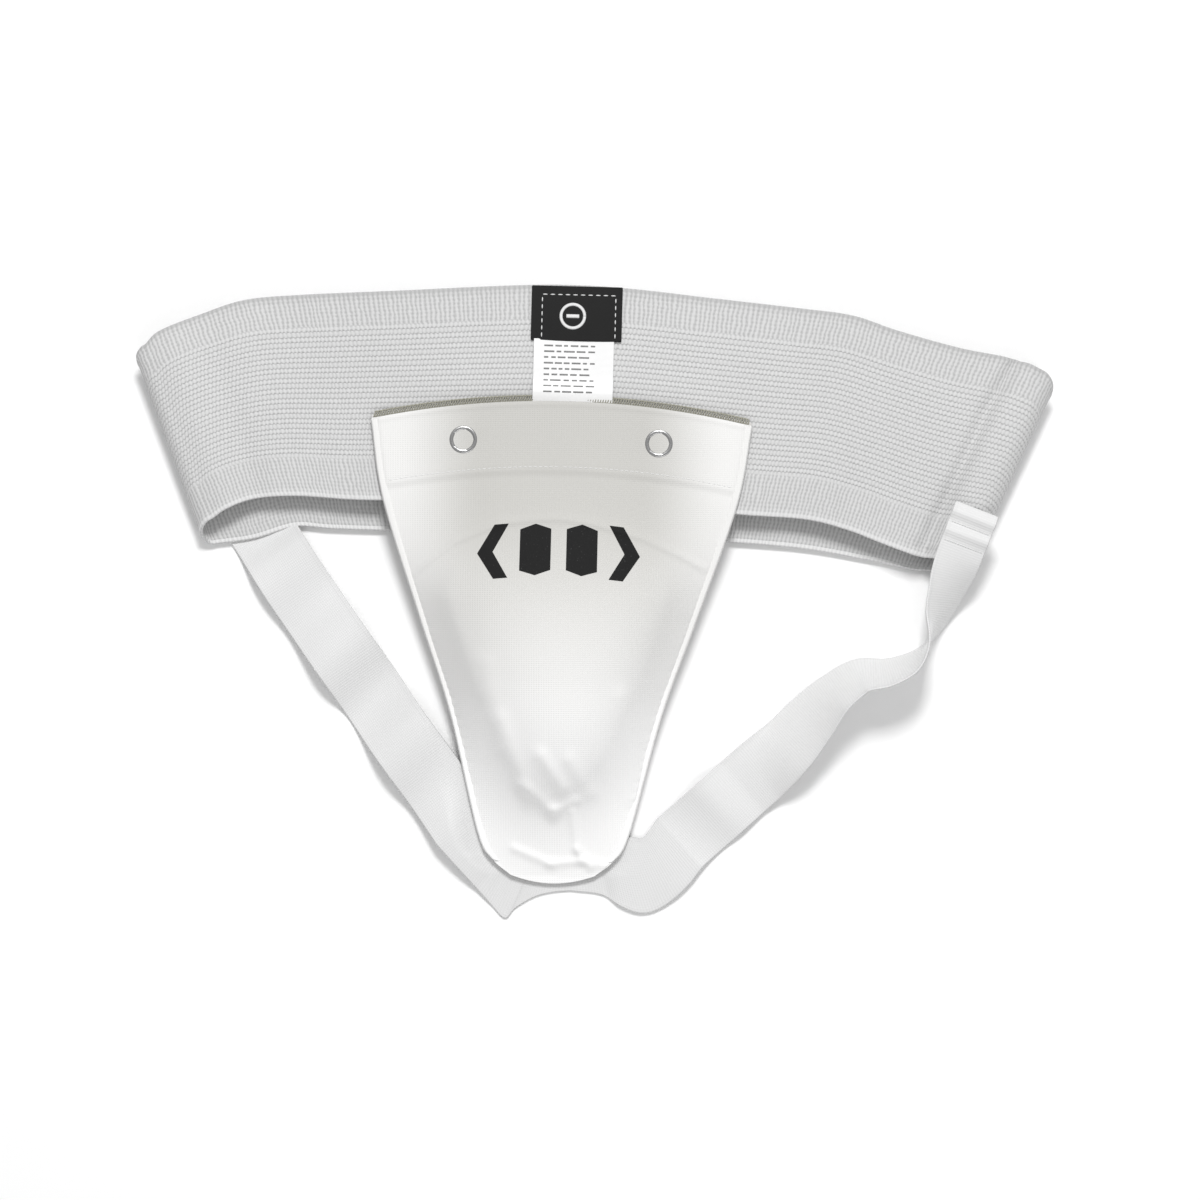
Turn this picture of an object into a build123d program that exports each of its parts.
"""Groin protector: an elastic supporter with a snap pouch that holds a rigid cup.

It lies flat with its front up: X to its right, Y towards the top of the waistband, Z up.
The layout is worked out about the middle of the waistband's opening. The last step moves
every piece so that the origin is under the middle of the whole, on the floor.
"""

from build123d import *
from math import atan2, cos, degrees, hypot, radians, sin, sqrt
import os

# ---- elastic waistband, a loop lying flat in two layers ----
BAND_WIDTH = 80.0
BAND_THICK = 1.8
BAND_TOP_RADIUS = 700.0          # the top edge curves gently over the hips
BAND_CENTRE = (-45.0, -577.0)    # centre of that curve
LAYER_SHIFT = 11.0               # the back layer lies this much lower than the front one
LAYER_GAP = 8.0                  # open space between the layers
LEFT_FOLD = ((-174.0, 99.0), (-147.0, 24.0))    # two points on each fold line
RIGHT_FOLD = ((174.0, 86.0), (146.0, 21.0))
STRAP_THICK = 1.5
BACK_Z = STRAP_THICK
FRONT_Z = BACK_Z + BAND_THICK + LAYER_GAP
BAND_TOP_Z = FRONT_Z + BAND_THICK

# ---- pouch: two cloth panels, flat on the band and then sloping down to the tip ----
POUCH_X, MOUTH_Y = -13.4, 70.0   # middle of the mouth line
POUCH_TURN = -1.2                # degrees
POUCH_SIDE = [                   # half width, distance below the mouth line
    (73.9, 0.0),
    (68.6, 31.0),
    (53.8, 76.0),
    (41.0, 114.0),
    (28.5, 160.0),
    (14.0, 177.0),
]
TIP_BOW = 3.0                    # the tip's end bows down
MOUTH_RISE = 8.0                 # the mouth edge bows up in the middle
BACK_EDGE_RISE = 2.0             # the back panel shows this far above the mouth edge
OVERLOCK_WIDTH = 3.0
PANEL_THICK = 0.8
FRONT_THICK = 1.2
BEND_Y = 40.0                    # the panels leave the band here
TIP_Y = -112.0
RING_ROOM = 0.6                  # the stud's back ring lies between panel and band
PANEL_Z = BAND_TOP_Z + RING_ROOM
SLOPE = (PANEL_Z - STRAP_THICK - 0.2) / (BEND_Y - TIP_Y)
SLOPE_DEG = degrees(atan2(SLOPE, 1.0))
HEM_DEPTH = 27.0                 # the mouth hem below the mouth line, at the middle
HEM_LIFT = 2.9                   # underside of the hem above the back panel
BINDING_WIDTH = 2.6
BINDING_THICK = 0.8

# ---- cup, moulded shell with a soft rim ----
CUP_LENGTH = 118.0
CUP_WIDTH = 98.0
CUP_DEPTH = 27.0
CUP_WALL = 3.0
CUP_TOP_BELOW_BEND = 7.0         # along the slope
CUP_APEX = 0.52                  # share of the length, from the top, where it is deepest
TRIM_THICK = 2.6
TRIM_WIDTH = 4.7
TRIM_PROUD = 0.7                 # beyond the shell
CUP_CLEAR = 0.35                 # between the cup's rim and the back panel
CLOTH_OFF = 2.0                  # between the shell and the front panel
WALL_TOP = TRIM_THICK + 1.0      # the dome springs from here, above the trim
CUP_END_HALF = 8.0               # half the width of the blunt ends
CUP_TOP_ROUND = 0.28             # share of the length over which the top rounds off
CUP_TIP_ROUND = 0.22             # and the tip
CUP_TAPER_FROM = 0.18            # the sides draw in from this share of the length
CUP_TAPER, CUP_TAPER_POWER = 0.92, 1.25
CUP_UPPER_POWER, CUP_LOWER_POWER = 2.0, 2.6    # fullness of the profile above and below the apex
CUP_LEAST_HIGH = 2.0             # height of the blunt ends above the walls
CUP_STATIONS = [0.0, 0.03, 0.09, 0.18, 0.32, 0.50, 0.68, 0.84, 0.94, 1.0]
CUP_RIM_SHARES = [0.004, 0.02, 0.06, 0.14, 0.3, 0.5, 0.7, 0.85, 0.95, 0.99]
CUP_SHIFT = -0.6                 # the cup lies slightly to the left of the pouch's middle
VENT_RADIUS = 2.6
MIDDLE_VENTS = (-38.0, -56.0, -74.0)    # below the rim's top
SIDE_VENTS = (-47.0, -65.0)
SIDE_VENT_X = 17.0

# ---- ring snaps ----
SNAP_SPACING = 76.0
SNAP_BELOW_MOUTH = 7.5
SNAP_OUTER_R = 5.5
SNAP_HOLE_R = 3.6
CAP_THICK = 0.9
STUD_R = 2.1
STUD_HEIGHT = 1.7
SOCKET_BORE_R = 2.6
SOCKET_OUTER_R = 4.6
SOCKET_CLEAR = 0.3               # between the socket and the back panel
STUD_BORE_R = 0.8
STUD_FLANGE = (0.3, 0.25)        # how far the foot stands out, and how thick it is

# ---- leg straps ----
STRAP_WIDTH = 25.0
LOBE_DROP = 1.5                  # the turned end hangs this far below the strap's end
LEFT_TOP = (-142.5, 45.0)
LEFT_BOTTOM = (-36.0, -108.0)
TIP_JOIN_X = -10.0               # the strap ends meet here, under the pouch tip
TIP_TAB_Y = (-113.5, -92.0)
# centre, and how far the strap has turned about its own length, in degrees
RIGHT_STRAP = [
    ((151.0, 47.0, BAND_TOP_Z + 0.8), 0.0),
    ((142.0, 6.5, BAND_TOP_Z + 0.8), 0.0),
    ((139.0, -1.5, 12.8), 18.0),
    ((134.0, -9.0, 11.9), 60.0),
    ((127.5, -17.0, 12.7), 90.0),
    ((116.5, -26.0, 11.2), 118.0),
    ((104.0, -33.0, 7.2), 150.0),
    ((91.0, -42.5, 0.8), 180.0),
]
RIGHT_BOTTOM = (19.0, -106.5)
TWISTED_WIDTH = 22.0             # the strap pulls narrower through the twist

# ---- labels and stitches ----
LABEL_X, LABEL_Y = -7.5, 112.5
LABEL_SIZE = (35.0, 21.0)
LABEL_THICK = 0.6
CARE_SIZE = (31.0, 18.0)
CARE_THICK = 0.3
CARE_SHIFT = -0.8                # the care label hangs slightly left of the woven one
LABEL_TURN = -1.5
STITCH_INSET = 2.5               # of the running stitch from the label's edges
STITCH_LONG, STITCH_WIDE, STITCH_PITCH = 2.0, 0.5, 3.2
STITCH_THICK = 0.3
TACK_AT, TACK_TURN = (149.0, 39.0), 76.0
TACK_ACROSS, TACK_GAP = STRAP_WIDTH - 5.0, 5.0


def slab(face, low, high):
    """A flat face in XY as a solid from z = low to z = high."""
    return Pos(0, 0, low) * extrude(face, high - low)


# ---------------------------------------------------------------- waistband
def fold_line(fold):
    """Where a fold line meets the front layer's top edge, its direction, and its length."""
    (x0, y0), (x1, y1) = fold
    length = hypot(x1 - x0, y1 - y0)
    ux, uy = (x1 - x0) / length, (y1 - y0) / length
    from_centre = (x0 - BAND_CENTRE[0], y0 - BAND_CENTRE[1])
    along = from_centre[0] * ux + from_centre[1] * uy
    offset_squared = from_centre[0] ** 2 + from_centre[1] ** 2 - along ** 2
    top = -along - sqrt(BAND_TOP_RADIUS ** 2 - offset_squared)
    bottom = -along - sqrt((BAND_TOP_RADIUS - BAND_WIDTH) ** 2 - offset_squared)
    return (x0 + top * ux, y0 + top * uy), (ux, uy), bottom - top


def band_layer(shift, low):
    """One layer: a ring sector cut off along the two fold lines."""
    ring = Circle(BAND_TOP_RADIUS - shift) - Circle(BAND_TOP_RADIUS - BAND_WIDTH - shift)
    spare = 60.0
    ends = []
    for fold in (LEFT_FOLD, RIGHT_FOLD):
        (x, y), (ux, uy), length = fold_line(fold)
        ends.append((x - spare * ux, y - spare * uy))
        ends.append((x + (length + spare) * ux, y + (length + spare) * uy))
    window = make_face(Polyline(ends[0], ends[1], ends[3], ends[2], close=True))
    return slab(Pos(*BAND_CENTRE) * ring & window, low, low + BAND_THICK)


def band_fold(fold, side):
    """The half tube that joins the layers along a fold line; side is +1 at the right."""
    (x, y), (ux, uy), length = fold_line(fold)
    outer = (BAND_TOP_Z - BACK_Z) / 2
    middle = BACK_Z + outer
    across = Plane(origin=(x, y, middle), x_dir=(-side * uy, side * ux, 0), z_dir=(ux, uy, 0))
    half = Circle(outer) - Circle(outer - BAND_THICK)
    half = half & Pos(outer / 2, 0) * Rectangle(outer, 2 * outer)
    tube = extrude(across * half, length + 2 * LAYER_SHIFT, both=True)
    shear = LAYER_SHIFT / (2 * outer - BAND_THICK)
    reach = 2 * outer
    side_view = Plane(origin=(x, y, middle), x_dir=(ux, uy, 0), z_dir=(-uy, ux, 0))
    corners = []
    for start, z in ((0.0, -reach), (length, -reach), (length, reach), (0.0, reach)):
        corners.append(Vector(start + LAYER_SHIFT / 2 - z * shear, z))
    lean = make_face(Polyline(*[side_view.from_local_coords(c) for c in corners], close=True))
    return tube & extrude(lean, 2 * reach, both=True)


def waistband():
    """Both layers and both folds, one knitted loop."""
    return (
        band_layer(0.0, FRONT_Z)
        + band_layer(LAYER_SHIFT, BACK_Z)
        + band_fold(LEFT_FOLD, -1)
        + band_fold(RIGHT_FOLD, 1)
    )


# ---------------------------------------------------------------- pouch
POUCH = Pos(POUCH_X, MOUTH_Y) * Rot(0, 0, POUCH_TURN)


def pouch_outline(inset=0.0, top=0.0):
    """The pouch seen from the front: tapering sides and a bowed mouth edge."""
    right = [(w - inset, -d) for w, d in POUCH_SIDE]
    left = [(-x, y) for x, y in reversed(right)]
    side = Spline(*right)
    tip = ThreePointArc(right[-1], (0, right[-1][1] - TIP_BOW), left[0])
    other = Spline(*left)
    lift = Polyline(left[-1], (left[-1][0], top)) if top else None
    lift_right = Polyline((right[0][0], top), right[0]) if top else None
    mouth = ThreePointArc((left[-1][0], top), (0, top + MOUTH_RISE), (right[0][0], top))
    edges = [side, tip, other, lift, mouth, lift_right]
    return POUCH * make_face([e for e in edges if e is not None])


def bent(low, high):
    """A sheet that lies flat above the band and slopes down to the tip below it."""
    def line(z):
        drop = SLOPE * (BEND_Y - TIP_Y + 30)
        return [(0, 120, PANEL_Z + z), (0, BEND_Y, PANEL_Z + z), (0, TIP_Y - 30, PANEL_Z + z - drop)]

    return extrude(make_face(Polyline(*line(high), *reversed(line(low)), close=True)), 120, both=True)


def cut_bent(face, low, high):
    """The part of a bent sheet that lies inside an outline."""
    return bent(low, high) & slab(face, 0.0, 60.0)


def below_mouth(distance, deep=300.0):
    """Everything further below the mouth edge than this distance."""
    edge = ThreePointArc((-90, -distance), (0, MOUTH_RISE - distance), (90, -distance))
    return POUCH * make_face([edge, Polyline((90, -distance), (90, -deep), (-90, -deep), (-90, -distance))])


def back_panel():
    return cut_bent(pouch_outline(top=BACK_EDGE_RISE), 0.0, PANEL_THICK)


def overlocked_edge():
    """A thick whipped ridge along the back panel's top edge, down to the band."""
    strip = pouch_outline(top=BACK_EDGE_RISE + OVERLOCK_WIDTH) - pouch_outline(top=BACK_EDGE_RISE)
    return slab(strip, BAND_TOP_Z, PANEL_Z + PANEL_THICK)


def side_binding(side):
    """The doubled edge where the two panels are sewn together."""
    strip = pouch_outline() - pouch_outline(inset=BINDING_WIDTH)
    half = POUCH * Pos(side * 60, -100) * Rectangle(100, 140)
    top = PANEL_THICK + FRONT_THICK
    return cut_bent(strip & half, top, top + BINDING_THICK)


def mouth_hem():
    """The doubled cloth along the mouth, which carries the snap caps."""
    strip = pouch_outline() - below_mouth(HEM_DEPTH)
    return slab(strip, PANEL_Z + HEM_LIFT, PANEL_Z + HEM_LIFT + FRONT_THICK)


# ---------------------------------------------------------------- cup
CUP = (
    Pos(POUCH_X + CUP_SHIFT, BEND_Y, PANEL_Z + PANEL_THICK + CUP_CLEAR)
    * Rot(0, 0, POUCH_TURN)
    * Rot(SLOPE_DEG, 0, 0)
    * Pos(0, -CUP_TOP_BELOW_BEND, 0)
)


def cup_half_width(share):
    """Half width at a share of the length from the top: broad above, narrow below."""
    round_top = sqrt(max(0.0, 1 - (1 - min(share / CUP_TOP_ROUND, 1.0)) ** 2))
    taper = 1 - CUP_TAPER * max(0.0, share - CUP_TAPER_FROM) ** CUP_TAPER_POWER
    round_tip = sqrt(max(0.0, 1 - max(0.0, (share - 1 + CUP_TIP_ROUND) / CUP_TIP_ROUND) ** 2))
    return CUP_WIDTH / 2 * round_top * taper * round_tip


def cup_height(share):
    """Depth of the dome at a share of the length: a long slope down to the apex."""
    reach = CUP_APEX if share < CUP_APEX else 1 - CUP_APEX
    away = abs(share - CUP_APEX) / reach
    power = CUP_UPPER_POWER if share < CUP_APEX else CUP_LOWER_POWER
    return CUP_DEPTH * (1 - away ** power)


def dome(grow, base):
    """The dome and its low walls as a solid, every face moved out by grow, down to z = base."""
    rise = WALL_TOP - base
    sections = []
    for share in CUP_STATIONS:
        wide = max(cup_half_width(share), CUP_END_HALF) + grow
        high = max(cup_height(share), CUP_LEAST_HIGH) + grow
        if high < 1.0:
            continue
        y = -CUP_LENGTH / 2 + (0.5 - share) * (CUP_LENGTH + 2 * grow)
        plane = Plane(origin=(0, y, base), x_dir=(1, 0, 0), z_dir=(0, -1, 0))
        arc = EllipticalCenterArc((0, rise), wide, high, arc_size=180)
        walls = Polyline((-wide, rise), (-wide, 0), (wide, 0), (wide, rise))
        sections.append(plane * make_face([arc, walls]))
    return loft(sections)


def cup_outline(grow):
    """The cup's rim seen from the front."""
    right = [(cup_half_width(s) + grow, grow - s * (CUP_LENGTH + 2 * grow)) for s in CUP_RIM_SHARES]
    left = [(-x, y) for x, y in reversed(right)]
    return make_face(Spline((0, grow), *right, (0, -CUP_LENGTH - grow), *left, periodic=True))


def vents():
    """Round air holes down the middle and to both sides."""
    holes = [(0, y) for y in MIDDLE_VENTS]
    holes += [(side * SIDE_VENT_X, y) for side in (-1, 1) for y in SIDE_VENTS]
    return [Pos(x, y, 0) * Cylinder(VENT_RADIUS, CUP_LENGTH) for x, y in holes]


def cup_shell():
    shell = dome(0.0, TRIM_THICK) - dome(-CUP_WALL, TRIM_THICK - 1.0)
    for hole in vents():
        shell = shell - hole
    return CUP * shell


def cup_edge_trim():
    ring = cup_outline(TRIM_PROUD) - cup_outline(TRIM_PROUD - TRIM_WIDTH)
    return CUP * slab(ring, 0.0, TRIM_THICK)


def front_panel():
    """The outer cloth: flat at its edges, raised over the cup, up to the mouth hem."""
    low, high = PANEL_THICK, PANEL_THICK + FRONT_THICK
    flat = cut_bent(pouch_outline() & below_mouth(HEM_DEPTH + 2.0), low, high)
    cover = CUP * dome(CLOTH_OFF + FRONT_THICK, -CUP_CLEAR / 2)
    return flat + cover - CUP * dome(CLOTH_OFF, -CUP_CLEAR - 2.0)


# ---------------------------------------------------------------- snaps
def at_snap(side):
    return POUCH * Pos(side * SNAP_SPACING / 2, -SNAP_BELOW_MOUTH)


def washer(outer, inner, low, high):
    return slab(Circle(outer) - Circle(inner), low, high)


def snap_cap(side):
    """Open ring with a rolled edge, on the outside of the hem."""
    low = PANEL_Z + HEM_LIFT + FRONT_THICK
    ring = washer(SNAP_OUTER_R, SNAP_HOLE_R, low, low + CAP_THICK)
    edges = ring.edges().filter_by(GeomType.CIRCLE).group_by(Axis.Z)[-1]
    return at_snap(side) * fillet(edges, CAP_THICK * 0.6)


def snap_socket(side):
    low, high = PANEL_Z + PANEL_THICK + SOCKET_CLEAR, PANEL_Z + HEM_LIFT
    return at_snap(side) * washer(SOCKET_OUTER_R, SOCKET_BORE_R, low, high)


def snap_stud(side):
    """A flanged foot with a rounded post."""
    low = PANEL_Z + PANEL_THICK
    flange, flange_thick = STUD_FLANGE
    foot = washer(STUD_R + flange, STUD_BORE_R, low, low + flange_thick)
    post = washer(STUD_R, STUD_BORE_R, low, low + STUD_HEIGHT)
    return at_snap(side) * (foot + post)


def snap_back_ring(side):
    return at_snap(side) * washer(SNAP_OUTER_R, SNAP_HOLE_R, BAND_TOP_Z, PANEL_Z)


# ---------------------------------------------------------------- leg straps
def strap_run(start, end, low):
    """A flat straight run of strap between two points of its centre line."""
    length = hypot(end[0] - start[0], end[1] - start[1])
    turn = degrees(atan2(end[1] - start[1], end[0] - start[0]))
    face = Pos(*start) * Rot(0, 0, turn) * Pos(length / 2, 0) * Rectangle(length, STRAP_WIDTH)
    return slab(face, low, low + STRAP_THICK)


def strap_end(bottom):
    """The rounded lobe where a strap turns, and its level tab under the pouch tip."""
    x, y = bottom
    low, high = TIP_TAB_Y
    tab_x = (x + TIP_JOIN_X) / 2
    tab = Pos(tab_x, (low + high) / 2) * Rectangle(abs(x - TIP_JOIN_X), high - low)
    lobe = Pos(x, y - LOBE_DROP) * Circle(STRAP_WIDTH / 2)
    return slab(tab + lobe, 0.0, STRAP_THICK)


def leg_strap_left():
    return strap_run(LEFT_TOP, LEFT_BOTTOM, 0.0) + strap_end(LEFT_BOTTOM)


def strap_section(centre, ahead, roll, width):
    """One cross-section of a strap, turned about the strap's own length."""
    level = Vector(-ahead.Y, ahead.X, 0).normalized()
    up = ahead.cross(level).normalized() * -1
    across = level * cos(radians(roll)) + up * sin(radians(roll))
    return Plane(origin=centre, x_dir=across, z_dir=ahead) * Rectangle(width, STRAP_THICK)


def leg_strap_right():
    """Over the band's right roll, down, half a twist on edge, then flat to the tip."""
    points = [Vector(*p) for p, _ in RIGHT_STRAP]
    bottom = Vector(*RIGHT_BOTTOM, points[-1].Z)
    sections = []
    for i, (centre, (_, roll)) in enumerate(zip(points, RIGHT_STRAP)):
        before = points[max(i - 1, 0)]
        after = points[i + 1] if i + 1 < len(points) else bottom
        ahead = (after - before).normalized()
        if i + 1 == len(points):
            ahead = (bottom - centre).normalized()
        twist = sin(radians(roll))
        width = STRAP_WIDTH + (TWISTED_WIDTH - STRAP_WIDTH) * abs(twist)
        sections.append(strap_section(centre, ahead, roll, width))
    twisted = loft(sections, ruled=True)
    last = RIGHT_STRAP[-1][0]
    run = strap_run(last[:2], RIGHT_BOTTOM, last[2] - STRAP_THICK / 2)
    return twisted + run + strap_end(RIGHT_BOTTOM)


# ---------------------------------------------------------------- labels and stitches
def label_at(x, y):
    return Pos(x, y) * Rot(0, 0, LABEL_TURN)


def woven_label():
    return slab(label_at(LABEL_X, LABEL_Y) * Rectangle(*LABEL_SIZE), BAND_TOP_Z, BAND_TOP_Z + LABEL_THICK)


def care_label():
    y = LABEL_Y - (LABEL_SIZE[1] + CARE_SIZE[1]) / 2
    return slab(label_at(LABEL_X + CARE_SHIFT, y) * Rectangle(*CARE_SIZE), BAND_TOP_Z, BAND_TOP_Z + CARE_THICK)


def stitches(start, end, low):
    """A row of separate stitches between two points."""
    length = hypot(end[0] - start[0], end[1] - start[1])
    turn = degrees(atan2(end[1] - start[1], end[0] - start[0]))
    count = int(length / STITCH_PITCH)
    row = []
    for i in range(count):
        place = Pos(*start) * Rot(0, 0, turn) * Pos((i + 0.5) * length / count, 0, low)
        row.append(place * Pos(0, 0, STITCH_THICK / 2) * Box(STITCH_LONG, STITCH_WIDE, STITCH_THICK))
    return row


def label_stitching():
    """Running stitch along the label's top and sides."""
    wide, high = LABEL_SIZE[0] / 2 - STITCH_INSET, LABEL_SIZE[1] / 2 - STITCH_INSET
    top = BAND_TOP_Z + LABEL_THICK
    rows = stitches((-wide, high), (wide, high), top)
    for side in (-1, 1):
        rows += stitches((side * wide, high - 2.0), (side * wide, -high), top)
    return label_at(LABEL_X, LABEL_Y) * Compound(rows)


def strap_tack(low):
    """Two close rows of stitches across the right strap's end."""
    rows = []
    for shift in (-TACK_GAP / 2, TACK_GAP / 2):
        rows += stitches((shift, -TACK_ACROSS / 2), (shift, TACK_ACROSS / 2), low)
    return Pos(*TACK_AT) * Rot(0, 0, TACK_TURN) * Compound(rows)


PIECES = {
    "waistband": waistband(),
    "woven_label": woven_label(),
    "label_stitching": label_stitching(),
    "care_label": care_label(),
    "pouch_back_panel": back_panel(),
    "overlocked_edge": overlocked_edge(),
    "pouch_front_panel": front_panel(),
    "mouth_hem": mouth_hem(),
    "cup_shell": cup_shell(),
    "cup_edge_trim": cup_edge_trim(),
    "leg_strap_left": leg_strap_left(),
    "leg_strap_right": leg_strap_right(),
    "strap_tack_right": strap_tack(RIGHT_STRAP[0][0][2] + STRAP_THICK / 2),
}
for name, side in (("left", -1), ("right", 1)):
    PIECES["side_binding_" + name] = side_binding(side)
    PIECES["snap_cap_" + name] = snap_cap(side)
    PIECES["snap_socket_" + name] = snap_socket(side)
    PIECES["snap_stud_" + name] = snap_stud(side)
    PIECES["snap_back_ring_" + name] = snap_back_ring(side)

boxes = [piece.bounding_box() for piece in PIECES.values()]
low_x, high_x = min(b.min.X for b in boxes), max(b.max.X for b in boxes)
low_y, high_y = min(b.min.Y for b in boxes), max(b.max.Y for b in boxes)
HOME = Pos(-(low_x + high_x) / 2, -(low_y + high_y) / 2, -min(b.min.Z for b in boxes))

os.makedirs("parts", exist_ok=True)
for name, piece in PIECES.items():
    export_step(HOME * piece, "parts/" + name + ".step")
